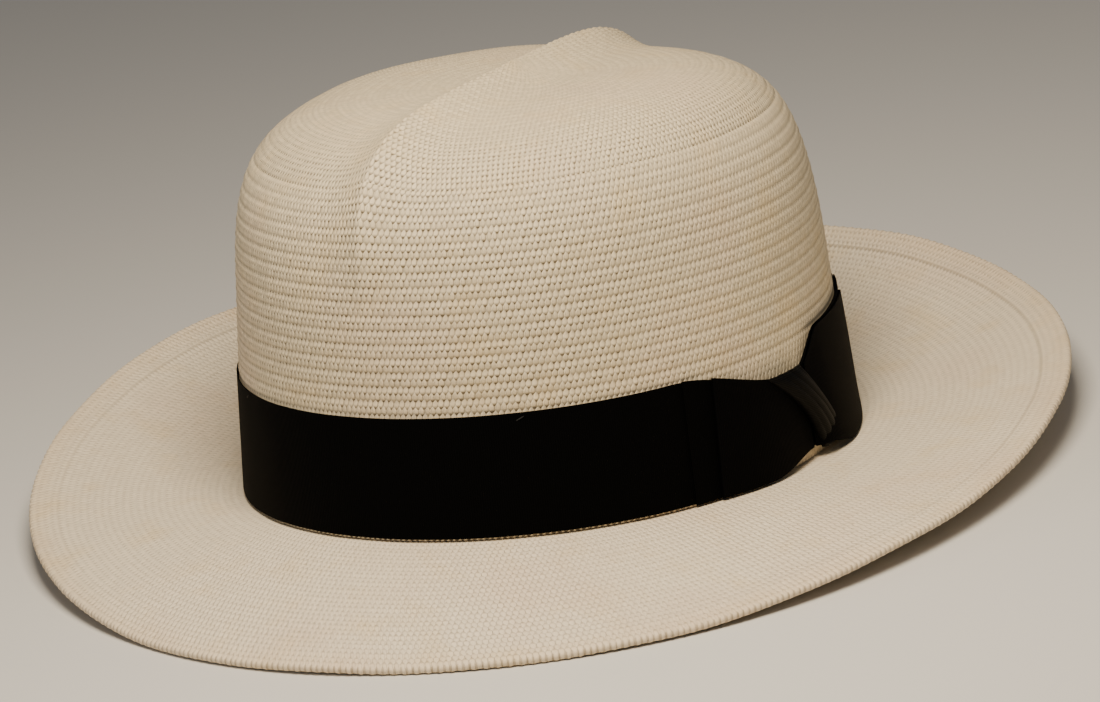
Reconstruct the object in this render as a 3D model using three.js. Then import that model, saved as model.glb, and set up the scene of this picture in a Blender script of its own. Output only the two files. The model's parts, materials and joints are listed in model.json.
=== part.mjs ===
// Panama hat of the Optimo shape: woven straw body with a centre ridge, ribbon band with
// a flat side bow, and a leather sweatband sewn inside. All lengths are in millimetres.
//
// The hat is modelled in its own frame: z = 0 at the crown's foot, +Z up the crown, the
// front at -Y and the wearer's left, where the bow is, at +X. An angle of 0 is the front
// and a quarter turn is the wearer's left. The whole hat is then pitched to the attitude
// it takes on a table, standing on the front of its brim and the back of its crown foot.

import * as THREE from 'three';

// Crown
const HEAD_LONG = 206; // outside of the straw at the crown's foot, front to back
const HEAD_WIDE = 171.4; // the same, side to side
const CROWN_HIGH = 106.8; // foot to tip, without the ridge
const STRAW = 1.5; // thickness of the woven straw
const TAPER = { front: 0.033, side: 0.089, back: 0.085 }; // share lost from foot to tip
const SQUARENESS = { front: 5.7, side: 7, back: 4.4 }; // superellipse power of the profile
const FOOT_DIP = 2.5; // how much lower the foot is at the sides than at front and back

// Optimo ridge, from the front over the tip to the back
const RIDGE_HIGH = 5.6;
const RIDGE_HALF_WIDE = 17;
const RIDGE_POWER = 2; // makes the flanks hollow
const RIDGE_START = 0.55; // share of the crown's height where the ridge begins
const RIDGE_FULL = 0.95; // share where it has its full height
const CREASE_SHARE = 0.06; // what is left of the ridge further down, as a faint crease
const CREASE_START = 0.37; // the crease begins above the band

// Brim
const BRIM_ARC = { mean: 65.4, front: -2.2, saddle: -1.6 }; // foot to edge, along the straw
const ARC_TO_CHORD = 0.985; // the curve is this much shorter in a straight line
const EDGE = { mean: 4.9, tip: -20, saddle: -2.9, third: 0.6, fourth: 0.4, lean: -4.6 };
const BRIM_CURL = 1.45; // power of the rise from foot to edge
const BRIM_CURL_TURN = 0.15; // the back curls this much more, the front less
const HEM_WIDE = 10; // folded edge
const HEM_STEP = 1.0; // extra thickness under it

// Ribbon
const BAND_HIGH = 34.3;
const BAND_CLEAR = 0.6; // from the brim
const RIBBON = 0.7; // thickness of the band
const PINCH_TOP = 9; // how far the knot pulls the band's top edge down
const PINCH_FOOT = 3; // how far it pulls the lower edge up
const GAP = 0.3; // between pieces that touch

// Bow, in degrees round the crown from the front
const UNDERLAY_FROM = 57.5;
const FRONT_LOOP_FROM = 63;
const KNOT_AT = 87;
const REAR_LOOP_TO = 122;
const UNDERLAY_TO = 126;
const KNOT_WIDE = 8; // strap width along the crown
const KNOT_SLANT = 6; // the strap's top is this far forward and its foot this far back
const KNOT_REACH = 11; // the loops lie flat this far either side of the knot's middle

// Stitches that hold the band
const TACKS_AT = [28, 152, 214, 322]; // degrees round the crown
const TACK_SIZE = [3, 0.4, 0.5]; // along, up and out

// Sweatband
const LEATHER = 0.8;
const SWEAT_HIGH = 39;
const REED_RADIUS = 1.0;
const REED_UP = 1.9; // height of the reed's middle above the foot

// Mesh fineness
const COLUMNS = 64; // round the whole hat
const COLUMN_CROWDING = 0.25; // more columns at the ridge's two ends
const PROFILE_SAMPLES = 240;
const CROWN_STEPS = [
  0, 0.1, 0.2, 0.3, 0.39, 0.45, 0.5, 0.54, 0.58, 0.62, 0.67, 0.73, 0.8, 0.87, 0.94, 1,
];
const BRIM_STEPS = [0, 0.05, 0.14, 0.27, 0.42, 0.58, 0.73];

const HALF_LONG = HEAD_LONG / 2;
const HALF_WIDE = HEAD_WIDE / 2;
const rad = THREE.MathUtils.degToRad;
const smooth = THREE.MathUtils.smoothstep;
const lerp = THREE.MathUtils.lerp;

// ---------------------------------------------------------------- shape of the hat

// Angles of the columns that every ring-shaped piece shares, so that facets lie parallel.
const columnAngles = Array.from({ length: COLUMNS + 1 }, (_, k) => {
  const u = (2 * Math.PI * k) / COLUMNS;
  return u - COLUMN_CROWDING * Math.sin(2 * u);
});

// Front, side and back values joined smoothly round the hat.
function around(phi, value) {
  const c = Math.cos(phi);
  const share = c * c;
  return c > 0 ? lerp(value.side, value.front, share) : lerp(value.side, value.back, share);
}

// Height of the crown's foot.
function footZ(phi) {
  return -FOOT_DIP * Math.sin(phi) ** 2;
}

// Share of the foot's radius that the crown has at a height given as a share of its own.
function crownShare(phi, t) {
  const power = around(phi, SQUARENESS);
  const taper = 1 - around(phi, TAPER) * t;
  return taper * Math.max(0, 1 - Math.max(0, t) ** power) ** (1 / power);
}

// Outward direction in plan of the foot's oval.
function outward(phi) {
  const n = new THREE.Vector3(Math.sin(phi) / HALF_WIDE, -Math.cos(phi) / HALF_LONG, 0);
  return n.normalize();
}

// A point on the wall or off it by `out`, exact at one angle.
function wallAt(phi, z, out) {
  const share = crownShare(phi, z / CROWN_HIGH);
  const p = new THREE.Vector3(
    HALF_WIDE * share * Math.sin(phi),
    -HALF_LONG * share * Math.cos(phi),
    z,
  );
  return p.addScaledVector(outward(phi), out);
}

// The same on the flat facet between the two nearest columns. Heights count from the foot.
function wall(phi, up, out) {
  let k = 0;
  while (k < COLUMNS - 1 && columnAngles[k + 1] < phi) {
    k += 1;
  }
  const [a, b] = [columnAngles[k], columnAngles[k + 1]];
  const pa = wallAt(a, footZ(a) + up, out);
  const pb = wallAt(b, footZ(b) + up, out);
  return pa.lerp(pb, (phi - a) / (b - a));
}

// Height of the ridge over the plain crown, for a distance x from the middle plane.
function ridge(x, t) {
  const off = Math.min(1, Math.abs(x) / RIDGE_HALF_WIDE);
  const crease = CREASE_SHARE * smooth(t, CREASE_START, RIDGE_START);
  const along = Math.max(crease, smooth(t, RIDGE_START, RIDGE_FULL));
  return RIDGE_HIGH * along * (1 - off) ** RIDGE_POWER;
}

// The crown's profile at one angle, from foot to tip, as {share, z} evenly along the arc.
function crownProfile(phi) {
  const radius = Math.hypot(HALF_WIDE * Math.sin(phi), HALF_LONG * Math.cos(phi));
  const power = around(phi, SQUARENESS);
  const start = footZ(phi);
  const points = [];
  const along = [0];
  for (let i = 0; i <= PROFILE_SAMPLES; i += 1) {
    const a = ((i / PROFILE_SAMPLES) * Math.PI) / 2;
    const t = Math.sin(a) ** (2 / power);
    const z = lerp(start, CROWN_HIGH, t);
    const share = i === PROFILE_SAMPLES ? 0 : crownShare(phi, z / CROWN_HIGH);
    points.push({ share, z });
    if (i > 0) {
      const last = points[i - 1];
      const step = Math.hypot((share - last.share) * radius, z - last.z);
      along.push(along[i - 1] + step);
    }
  }
  return (fraction) => {
    const target = fraction * along[PROFILE_SAMPLES];
    let i = 1;
    while (i < PROFILE_SAMPLES && along[i] < target) {
      i += 1;
    }
    const f = (target - along[i - 1]) / (along[i] - along[i - 1]);
    return {
      share: lerp(points[i - 1].share, points[i].share, f),
      z: lerp(points[i - 1].z, points[i].z, f),
    };
  };
}

// A point of the straw crown, `inside` millimetres in from its outer face.
function crownPoint(phi, profile, fraction, inside) {
  const small = 0.004;
  const here = profile(fraction);
  const low = profile(Math.max(0, fraction - small));
  const high = profile(Math.min(1, fraction + small));
  const radius = Math.hypot(HALF_WIDE * Math.sin(phi), HALF_LONG * Math.cos(phi));
  const run = (high.share - low.share) * radius;
  const rise = high.z - low.z;
  const slope = new THREE.Vector2(rise, -run).normalize();
  if (fraction === 1) {
    slope.set(0, 1);
  }
  const x = HALF_WIDE * here.share * Math.sin(phi);
  const p = new THREE.Vector3(x, -HALF_LONG * here.share * Math.cos(phi), here.z);
  const lift = ridge(x, here.z / CROWN_HIGH) - inside;
  p.addScaledVector(outward(phi), fraction === 1 ? 0 : slope.x * lift);
  p.z += slope.y * lift;
  return p;
}

// Height of the brim's edge round the hat.
function edgeZ(phi) {
  return (
    EDGE.mean +
    EDGE.tip * Math.cos(phi) +
    EDGE.saddle * Math.cos(2 * phi) +
    EDGE.third * Math.cos(3 * phi) +
    EDGE.fourth * Math.cos(4 * phi) +
    EDGE.lean * Math.sin(phi) * Math.abs(Math.sin(phi))
  );
}

// Distance in plan from the crown's foot to the brim's edge.
function brimReach(phi) {
  const arc = BRIM_ARC.mean + BRIM_ARC.front * Math.cos(phi) + BRIM_ARC.saddle * Math.cos(2 * phi);
  return Math.sqrt((arc * ARC_TO_CHORD) ** 2 - edgeZ(phi) ** 2);
}

// Height of the brim's upper face at a share u of the reach.
function brimZ(phi, u) {
  const curl = BRIM_CURL - BRIM_CURL_TURN * Math.cos(phi);
  return footZ(phi) - GAP + (edgeZ(phi) - footZ(phi) + GAP) * u ** curl;
}

// A point of the brim, `out` from the foot and `below` its upper face.
function brimPoint(phi, out, below) {
  const reach = brimReach(phi);
  const u = THREE.MathUtils.clamp(out / reach, 0, 1);
  const small = 0.01;
  const rise = brimZ(phi, Math.min(1, u + small)) - brimZ(phi, Math.max(0, u - small));
  const slope = rise / (2 * small * reach);
  const size = Math.hypot(1, slope);
  const p = new THREE.Vector3(HALF_WIDE * Math.sin(phi), -HALF_LONG * Math.cos(phi), 0);
  p.addScaledVector(outward(phi), out + (below * slope) / size);
  p.z = brimZ(phi, u) - below / size;
  return p;
}

// ---------------------------------------------------------------- mesh helpers

// Turns a list of points and triangles into a geometry whose faces point out.
function closedGeometry(points, triangles) {
  let volume = 0;
  const cross = new THREE.Vector3();
  for (const [a, b, c] of triangles) {
    volume += points[a].dot(cross.crossVectors(points[b], points[c]));
  }
  const index = triangles.flatMap(([a, b, c]) => (volume > 0 ? [a, b, c] : [a, c, b]));
  const geometry = new THREE.BufferGeometry().setFromPoints(points);
  geometry.setIndex(index);
  geometry.computeVertexNormals();
  return geometry;
}

// Joins closed sections, one per column, into a ring that closes on itself.
function ringBody(sections) {
  const size = sections[0].length;
  const points = sections.flat();
  const triangles = [];
  sections.forEach((_, k) => {
    const next = (k + 1) % sections.length;
    for (let i = 0; i < size; i += 1) {
      const j = (i + 1) % size;
      const [a, b, c, d] = [k * size + i, k * size + j, next * size + j, next * size + i];
      triangles.push([a, b, c], [a, c, d]);
    }
  });
  return closedGeometry(points, triangles);
}

// Joins closed sections into a bar with two flat ends.
function barBody(sections) {
  const size = sections[0].length;
  const points = sections.flat();
  const last = sections.length - 1;
  const triangles = [];
  for (let k = 0; k < last; k += 1) {
    for (let i = 0; i < size; i += 1) {
      const j = (i + 1) % size;
      const [a, b, c, d] = [k * size + i, k * size + j, (k + 1) * size + j, (k + 1) * size + i];
      triangles.push([a, b, c], [a, c, d]);
    }
  }
  for (let i = 1; i < size - 1; i += 1) {
    triangles.push([0, i + 1, i]);
    triangles.push([last * size, last * size + i, last * size + i + 1]);
  }
  return closedGeometry(points, triangles);
}

// Joins open sections that all start at one pole and end at another.
function poledBody(sections) {
  const size = sections[0].length - 2;
  const points = [sections[0][0], sections[0][size + 1]];
  sections.forEach((section) => points.push(...section.slice(1, size + 1)));
  const triangles = [];
  sections.forEach((_, k) => {
    const here = 2 + k * size;
    const next = 2 + ((k + 1) % sections.length) * size;
    triangles.push([0, here, next], [here + size - 1, 1, next + size - 1]);
    for (let i = 0; i < size - 1; i += 1) {
      triangles.push([here + i, here + i + 1, next + i + 1]);
      triangles.push([here + i, next + i + 1, next + i]);
    }
  });
  return closedGeometry(points, triangles);
}

// A closed ring built from one section function per column.
function ringOf(sectionAt) {
  return ringBody(columnAngles.slice(0, COLUMNS).map(sectionAt));
}

// A bar along part of the wall: angles in degrees, one section each.
function stripOf(from, to, steps, sectionAt) {
  const sections = Array.from({ length: steps + 1 }, (_, k) => {
    const degrees = lerp(from, to, k / steps);
    return sectionAt(rad(degrees), degrees);
  });
  return barBody(sections);
}

// ---------------------------------------------------------------- straw

function strawCrown() {
  const sections = columnAngles.slice(0, COLUMNS).map((phi) => {
    const profile = crownProfile(phi);
    const outer = CROWN_STEPS.map((s) => crownPoint(phi, profile, s, 0)).reverse();
    const inner = CROWN_STEPS.map((s) => crownPoint(phi, profile, s, STRAW));
    return [...outer, ...inner];
  });
  return poledBody(sections);
}

function strawBrim() {
  return ringOf((phi) => {
    const reach = brimReach(phi);
    const hem = reach - HEM_WIDE;
    const out = BRIM_STEPS.map((u) => u * reach);
    const top = [-STRAW, ...out, hem, reach - 1].map((n) => brimPoint(phi, n, 0));
    const edge = [brimPoint(phi, reach, STRAW / 2), brimPoint(phi, reach - 1, STRAW + HEM_STEP)];
    const step = [brimPoint(phi, hem, STRAW + HEM_STEP), brimPoint(phi, hem - 0.4, STRAW)];
    const under = [-STRAW, ...out].reverse().map((n) => brimPoint(phi, n, STRAW));
    return [...top, ...edge, ...step, ...under];
  });
}

// Line of thread that holds the folded edge, on the underside.
function brimEdgeThread() {
  const inFromEdge = HEM_WIDE - 2;
  const half = 0.25;
  return ringOf((phi) => {
    const out = brimReach(phi) - inFromEdge;
    const high = STRAW + HEM_STEP + GAP;
    return [
      brimPoint(phi, out - half, high),
      brimPoint(phi, out + half, high),
      brimPoint(phi, out + half, high + 2 * half),
      brimPoint(phi, out - half, high + 2 * half),
    ];
  });
}

// ---------------------------------------------------------------- ribbon and bow

// Height of the ribbon's top edge over the foot: the knot pulls it down.
function bandTop(degrees) {
  const pull = smooth(degrees, 56, 83) * (1 - smooth(degrees, 86, 96));
  const saddle = 0.3 * FOOT_DIP * Math.sin(rad(degrees)) ** 2;
  return BAND_CLEAR + BAND_HIGH + saddle - PINCH_TOP * pull;
}

// Height of the ribbon's lower edge over the foot.
function bandFoot(degrees) {
  return BAND_CLEAR + PINCH_FOOT * smooth(degrees, 74, 86) * (1 - smooth(degrees, 90, 99));
}

function hatBand() {
  return ringOf((phi) => {
    const degrees = THREE.MathUtils.radToDeg(phi);
    const [low, high] = [bandFoot(degrees), bandTop(degrees)];
    const [near, far] = [GAP, GAP + RIBBON];
    return [wall(phi, low, near), wall(phi, low, far), wall(phi, high, far), wall(phi, high, near)];
  });
}

// A flat four-cornered section between two heights and two distances off the wall.
function slab(phi, low, high, near, far) {
  return [
    wall(phi, low, near),
    wall(phi, low, far),
    wall(phi, (low + high) / 2, far + 0.15),
    wall(phi, high, far),
    wall(phi, high, near),
  ];
}

const UNDERLAY_NEAR = GAP + RIBBON + GAP;
const UNDERLAY_FAR = UNDERLAY_NEAR + 0.6;
const LOOP_NEAR = UNDERLAY_FAR + GAP + 0.15;
const LOOP_FLAT = 1.1;

function bowUnderlay() {
  return stripOf(UNDERLAY_FROM, UNDERLAY_TO, 30, (phi, degrees) => {
    const [low, high] = [bandFoot(degrees) - 0.2, bandTop(degrees) + 0.4];
    return slab(phi, low, high, UNDERLAY_NEAR, UNDERLAY_FAR);
  });
}

// A loop of the bow: flat under the knot and puffed from there to its end.
function bowLoop(end, knotSide, puffEdge, puff) {
  return stripOf(end, knotSide, 16, (phi, degrees) => {
    const along = THREE.MathUtils.clamp((degrees - end) / (puffEdge - end), 0, 1);
    const far = LOOP_NEAR + LOOP_FLAT + puff * Math.sin(Math.PI * along);
    return slab(phi, bandFoot(degrees) - 0.1, bandTop(degrees) + 0.8, LOOP_NEAR, far);
  });
}

// The strap round the bow's middle, slanting back towards its foot.
function bowKnot() {
  const near = LOOP_NEAR + LOOP_FLAT + GAP + 0.3;
  const rows = 8;
  const sections = Array.from({ length: rows + 1 }, (_, r) => {
    const v = r / rows;
    const middle = KNOT_AT + KNOT_SLANT * (1 - 2 * v);
    const up = lerp(bandFoot(KNOT_AT) - 1, bandTop(84) + 2.2, v);
    const bulge = near + 0.8 + 1.4 * Math.sin(Math.PI * v) ** 0.6;
    const side = [-1, -0.6, 0, 0.6, 1].map((s) => {
      const rise = (bulge - near) * (1 - 0.75 * s * s);
      return wall(rad(middle + (s * KNOT_WIDE) / 2), up, near + Math.max(0.6, rise));
    });
    const back = [1, 0.6, 0, -0.6, -1].map((s) =>
      wall(rad(middle + (s * KNOT_WIDE) / 2), up, near),
    );
    return [...side, ...back];
  });
  return barBody(sections);
}

// A short stitch that holds the band's top edge to the straw.
function bandTack(degrees) {
  const phi = rad(degrees);
  const geometry = new THREE.BoxGeometry(...TACK_SIZE);
  const up = new THREE.Vector3(0, 0, 1);
  const turn = new THREE.Matrix4().lookAt(outward(phi), new THREE.Vector3(), up);
  const at = wall(phi, bandTop(degrees) - 2, UNDERLAY_NEAR + TACK_SIZE[2] / 2 + 0.1);
  return geometry.applyMatrix4(turn.setPosition(at));
}

// ---------------------------------------------------------------- inside

const LEG_IN = STRAW + GAP + 0.1; // outer leg's outer face, inward from the straw's outside
const MAIN_IN = LEG_IN + LEATHER + GAP; // main leather's outer face above the fold
const LOOP_IN = LEG_IN + LEATHER; // loop's inner wall beside the reed
const REED_IN = LOOP_IN + GAP + REED_RADIUS; // middle of the reed

// The leather's section: a strip whose lower edge is folded round the reed.
function sweatSection(phi) {
  const hollow = REED_RADIUS + GAP;
  const shell = hollow + LEATHER;
  const arc = (radius, from, to, steps) =>
    Array.from({ length: steps + 1 }, (_, i) => {
      const a = lerp(from, to, i / steps);
      return [REED_IN - radius * Math.cos(a), REED_UP - radius * Math.sin(a)];
    });
  const outline = [
    [MAIN_IN + 0.1, SWEAT_HIGH],
    [MAIN_IN, SWEAT_HIGH - 0.6],
    [MAIN_IN, REED_UP + 6],
    ...arc(hollow, Math.PI, 0, 4),
    [LOOP_IN, REED_UP + 4],
    [LEG_IN, REED_UP + 4],
    ...arc(shell, 0, Math.PI, 5),
    [MAIN_IN + LEATHER, REED_UP + 6.2],
    [MAIN_IN + LEATHER, SWEAT_HIGH - 0.6],
    [MAIN_IN + LEATHER - 0.1, SWEAT_HIGH],
  ];
  return outline.map(([inward, up]) => wall(phi, up, -inward));
}

function sweatband() {
  return ringOf(sweatSection);
}

function sweatbandReed() {
  const sides = 6;
  return ringOf((phi) =>
    Array.from({ length: sides }, (_, i) => {
      const a = (2 * Math.PI * i) / sides;
      const inward = REED_IN + REED_RADIUS * Math.cos(a);
      return wall(phi, REED_UP + REED_RADIUS * Math.sin(a), -inward);
    }),
  );
}

// A plain block on the leather's inner face.
function onLeather(degrees, wide, low, high, near, far) {
  const half = wide / 2;
  return stripOf(degrees - half, degrees + half, 4, (phi) => [
    wall(phi, low, -near),
    wall(phi, low, -far),
    wall(phi, high, -far),
    wall(phi, high, -near),
  ]);
}

const LEATHER_FACE = MAIN_IN + LEATHER;

function sweatbandThread() {
  const up = REED_UP + 8;
  const near = LEATHER_FACE + GAP;
  return ringOf((phi) => [
    wall(phi, up, -near),
    wall(phi, up, -near - 0.5),
    wall(phi, up + 0.5, -near - 0.5),
    wall(phi, up + 0.5, -near),
  ]);
}

function sweatbandSeamTape() {
  const near = LEATHER_FACE + GAP;
  return onLeather(180, 5.5, REED_UP + 9, SWEAT_HIGH - 1.5, near, near + 0.5);
}

// Small ribbon bow at the back of the leather: two loops drawn in at the middle.
function sweatbandBow() {
  const near = LEATHER_FACE + GAP + 0.5 + GAP;
  const middle = REED_UP + 15;
  return stripOf(180 - 7, 180 + 7, 12, (phi, degrees) => {
    const off = Math.min(1, Math.abs(degrees - 180) / 7);
    const half = 1.6 + 2.2 * smooth(off, 0, 0.5);
    const far = near + 0.9 + 1.4 * Math.sin(Math.PI * off) + (off < 0.2 ? 0.8 : 0);
    return [
      wall(phi, middle - half, -near),
      wall(phi, middle - half, -far),
      wall(phi, middle + half, -far),
      wall(phi, middle + half, -near),
    ];
  });
}

// Blank size tab, tucked behind the leather with its top showing.
function sizeTab() {
  const near = STRAW + GAP;
  const low = REED_UP + 6;
  return stripOf(214, 221, 4, (phi) => {
    const mid = [wall(phi, SWEAT_HIGH + 7, -near), wall(phi, SWEAT_HIGH + 7, -near - 0.4)];
    return [wall(phi, low, -near), ...mid, wall(phi, low, -near - 0.4)];
  });
}

// ---------------------------------------------------------------- assembly

const straw = { color: '#d8cdb2', roughness: 0.75, metalness: 0 };
const ribbon = { color: '#0b0b0c', roughness: 0.6, metalness: 0 };
const leather = { color: '#b08b5f', roughness: 0.5, metalness: 0 };
const threadLight = { color: '#cdbf9f', roughness: 0.8, metalness: 0 };
const threadDark = { color: '#121213', roughness: 0.8, metalness: 0 };
const cord = { color: '#b9a884', roughness: 0.8, metalness: 0 };
const cloth = { color: '#ece6d6', roughness: 0.8, metalness: 0 };

function piece(name, geometry, finish) {
  const mesh = new THREE.Mesh(geometry, new THREE.MeshStandardMaterial(finish));
  mesh.name = name;
  return mesh;
}

const hat = new THREE.Group();
hat.add(
  piece('straw_crown', strawCrown(), straw),
  piece('straw_brim', strawBrim(), straw),
  piece('brim_edge_thread', brimEdgeThread(), threadLight),
  piece('hat_band', hatBand(), ribbon),
  piece('bow_underlay', bowUnderlay(), ribbon),
  piece('bow_front_loop', bowLoop(FRONT_LOOP_FROM, KNOT_AT - 0.4, KNOT_AT - KNOT_REACH, 1.8), ribbon),
  piece('bow_rear_loop', bowLoop(REAR_LOOP_TO, KNOT_AT + 0.4, KNOT_AT + KNOT_REACH, 2.2), ribbon),
  piece('bow_knot', bowKnot(), ribbon),
  piece('sweatband', sweatband(), leather),
  piece('sweatband_reed', sweatbandReed(), cord),
  piece('sweatband_thread', sweatbandThread(), threadLight),
  piece('sweatband_seam_tape', sweatbandSeamTape(), cloth),
  piece('sweatband_bow', sweatbandBow(), ribbon),
  piece('size_tab', sizeTab(), cloth),
);

TACKS_AT.forEach((degrees, k) => {
  hat.add(piece(`band_tack_${k + 1}`, bandTack(degrees), threadDark));
});

// Pitch the hat so that the brim's front edge and the back of the foot touch the table,
// and set the middle of its underside on the origin.
const frontLow = brimPoint(0, brimReach(0) - 1, STRAW + HEM_STEP);
const backLow = brimPoint(Math.PI, 0, STRAW);
hat.rotation.x = -Math.atan2(backLow.z - frontLow.z, backLow.y - frontLow.y);
hat.updateMatrixWorld(true);
const box = new THREE.Box3().setFromObject(hat, true);
const centre = box.getCenter(new THREE.Vector3());
hat.position.set(-centre.x, -centre.y, -box.min.z);

const part = new THREE.Group();
part.add(hat);

export default part;
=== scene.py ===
# %% [markdown]
# # A woven straw hat with a ribbon band
#
# An Optimo panama: a straw body with a round crown and a ridge from front to back, a wide
# brim with a folded edge, a black grosgrain band tied off in a flat side bow, and a
# leather sweatband inside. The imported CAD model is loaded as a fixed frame. Each piece is
# then rebuilt with the detail that a rigid CAD solid can't carry: the weave, the ribs of
# the ribbon, the loops of the bow and single stitches.

import json

import bpy
import numpy as np
from mathutils import Matrix, Vector


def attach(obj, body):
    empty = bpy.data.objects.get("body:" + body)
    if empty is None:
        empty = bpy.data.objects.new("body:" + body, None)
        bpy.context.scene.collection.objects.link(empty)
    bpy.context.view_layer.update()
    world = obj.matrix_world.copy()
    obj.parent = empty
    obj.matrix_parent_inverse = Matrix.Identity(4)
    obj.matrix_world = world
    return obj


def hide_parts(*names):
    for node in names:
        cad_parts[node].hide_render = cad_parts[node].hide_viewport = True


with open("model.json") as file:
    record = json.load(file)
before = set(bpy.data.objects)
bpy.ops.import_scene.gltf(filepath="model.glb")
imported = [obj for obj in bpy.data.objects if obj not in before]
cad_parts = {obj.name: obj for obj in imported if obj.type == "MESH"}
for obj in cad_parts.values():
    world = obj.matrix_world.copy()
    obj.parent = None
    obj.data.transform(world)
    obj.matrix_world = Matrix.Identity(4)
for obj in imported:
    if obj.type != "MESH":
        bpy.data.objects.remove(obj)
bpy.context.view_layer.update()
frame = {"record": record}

# %% [markdown]
# ## The hat's own frame
#
# A hat is easiest to describe standing level: height 0 at the crown's foot, the front at
# -Y and the wearer's left at +X. On a table it leans back a little, because the brim dips
# at the front. The record's mount `head_opening` says where the level frame's origin went
# and how it turned, so every shape below is worked out level, in millimetres, and carried
# into the row's frame in metres by one function.

# %% From the level frame to the row's frame
opening = next(m for m in frame["record"]["mounts"] if m["name"] == "head_opening")
up_axis = -np.array(opening["axis"], float)
up_axis /= np.linalg.norm(up_axis)
side_axis = np.array([1.0, 0.0, 0.0])
back_axis = np.cross(up_axis, side_axis)
TURN = np.stack([side_axis, back_axis, up_axis], axis=1)
SHIFT = np.array(opening["pos_m"], float)


def to_row(points):
    """Millimetres in the level frame to metres in the row's frame: turn, then shift."""
    return (np.asarray(points, float) / 1000) @ TURN.T + SHIFT


print("the hat leans by", round(float(np.degrees(np.arcsin(up_axis[1]))), 2), "degrees")

# %% [markdown]
# ## Shape of the crown
#
# The crown is blocked on a wooden form. Its foot is an oval, and each upright profile is
# close to a superellipse: nearly straight up the side, a tight turn, then nearly flat. The
# power of the superellipse and the taper differ between front, side and back, and are
# blended round the hat. The formulas and numbers are those of the CAD part.

# %% Crown dimensions and profile
HALF_LONG = 103.0
HALF_WIDE = 85.7
CROWN_HIGH = 106.8
TAPER = (0.033, 0.089, 0.085)
SQUARENESS = (5.7, 7.0, 4.4)
FOOT_DIP = 2.5


def smooth(x, low, high):
    """0 below low, 1 above high, and 3s^2 - 2s^3 between."""
    s = np.clip((np.asarray(x, float) - low) / (high - low), 0, 1)
    return s * s * (3 - 2 * s)


def around(phi, front, side, back):
    """side + (front or back - side) cos^2: three values blended round the hat."""
    c = np.cos(phi)
    return side + (np.where(c > 0, front, back) - side) * c * c


def foot_z(phi):
    """The foot dips by FOOT_DIP sin^2 at the sides."""
    return -FOOT_DIP * np.sin(phi) ** 2


def crown_share(phi, t):
    """(1 - taper t)(1 - t^n)^(1/n): the share of the foot's radius left at height t."""
    n = around(phi, *SQUARENESS)
    t = np.clip(t, -0.2, 1)
    left = np.clip(1 - np.clip(t, 0, 1) ** n, 0, 1)
    return (1 - around(phi, *TAPER) * t) * left ** (1 / n)


def outward(phi):
    """Unit normal of the foot's oval in plan."""
    x, y = np.sin(phi) / HALF_WIDE, -np.cos(phi) / HALF_LONG
    size = np.hypot(x, y)
    return np.stack([x / size, y / size, np.zeros_like(size)], axis=-1)


def wall(phi, up, out):
    """Point `up` over the foot and `out` off the straw's outer face."""
    phi, up, out = np.broadcast_arrays(*(np.asarray(v, float) for v in (phi, up, out)))
    z = foot_z(phi) + up
    share = crown_share(phi, z / CROWN_HIGH)
    p = np.stack([HALF_WIDE * share * np.sin(phi), -HALF_LONG * share * np.cos(phi), z], axis=-1)
    return p + outward(phi) * out[..., None]


print("crown foot", 2 * HALF_LONG, "by", 2 * HALF_WIDE, "mm, crown height", CROWN_HIGH, "mm")

# %% [markdown]
# ## The ridge
#
# A hand pinches the damp crown into one ridge from front to back. It has a crisp crest and
# hollow flanks, so its height falls with the square of the distance from the crest. Below
# the crown's corner it fades into a faint crease that stops above the band.

# %% Ridge height
RIDGE_HIGH = 5.6
RIDGE_HALF_WIDE = 17.0


def ridge(x, t):
    """Height of the ridge: its rise along the profile times (1 - |x| / half width)^2."""
    off = np.clip(np.abs(x) / RIDGE_HALF_WIDE, 0, 1)
    crease = 0.06 * smooth(t, 0.37, 0.55)
    along = np.maximum(crease, smooth(t, 0.55, 0.95))
    return RIDGE_HIGH * along * (1 - off) ** 2


print("ridge at its middle", float(ridge(0, 1)), "mm high")

# %% [markdown]
# ## Walking up the crown
#
# The weave lies in rows, so the crown is laid out by distance along the straw, not by
# height: up the side to the corner in rows of one stitch, then over the tip to the middle.
# For each angle the profile is sampled finely, its length is summed, and the wanted
# distances are looked up in that table.

# %% Crown surface
ROW = 1.97
SIDE_ROWS = 50
SIDE_ARC = SIDE_ROWS * ROW
SAMPLES = 400


def crown_profile(phi, side_arc, tip_share):
    """Share and height at a distance up the side, then at a share of the rest to the tip."""
    n = around(phi, *SQUARENESS)
    a = np.linspace(0, np.pi / 2, SAMPLES)
    t = np.sin(a)[None, :] ** (2 / n[:, None])
    z = foot_z(phi)[:, None] * (1 - t) + CROWN_HIGH * t
    share = crown_share(phi[:, None], z / CROWN_HIGH)
    share[:, -1] = 0
    radius = np.hypot(HALF_WIDE * np.sin(phi), HALF_LONG * np.cos(phi))[:, None]
    step = np.hypot(np.diff(share, axis=1) * radius, np.diff(z, axis=1))
    arc = np.concatenate([np.zeros_like(step[:, :1]), np.cumsum(step, axis=1)], axis=1)
    want = side_arc + tip_share * (arc[:, -1:] - SIDE_ARC)
    out = np.empty((2,) + want.shape)
    for k in range(len(phi)):
        out[0, k] = np.interp(want[k], arc[k], share[k])
        out[1, k] = np.interp(want[k], arc[k], z[k])
    return out


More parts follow.
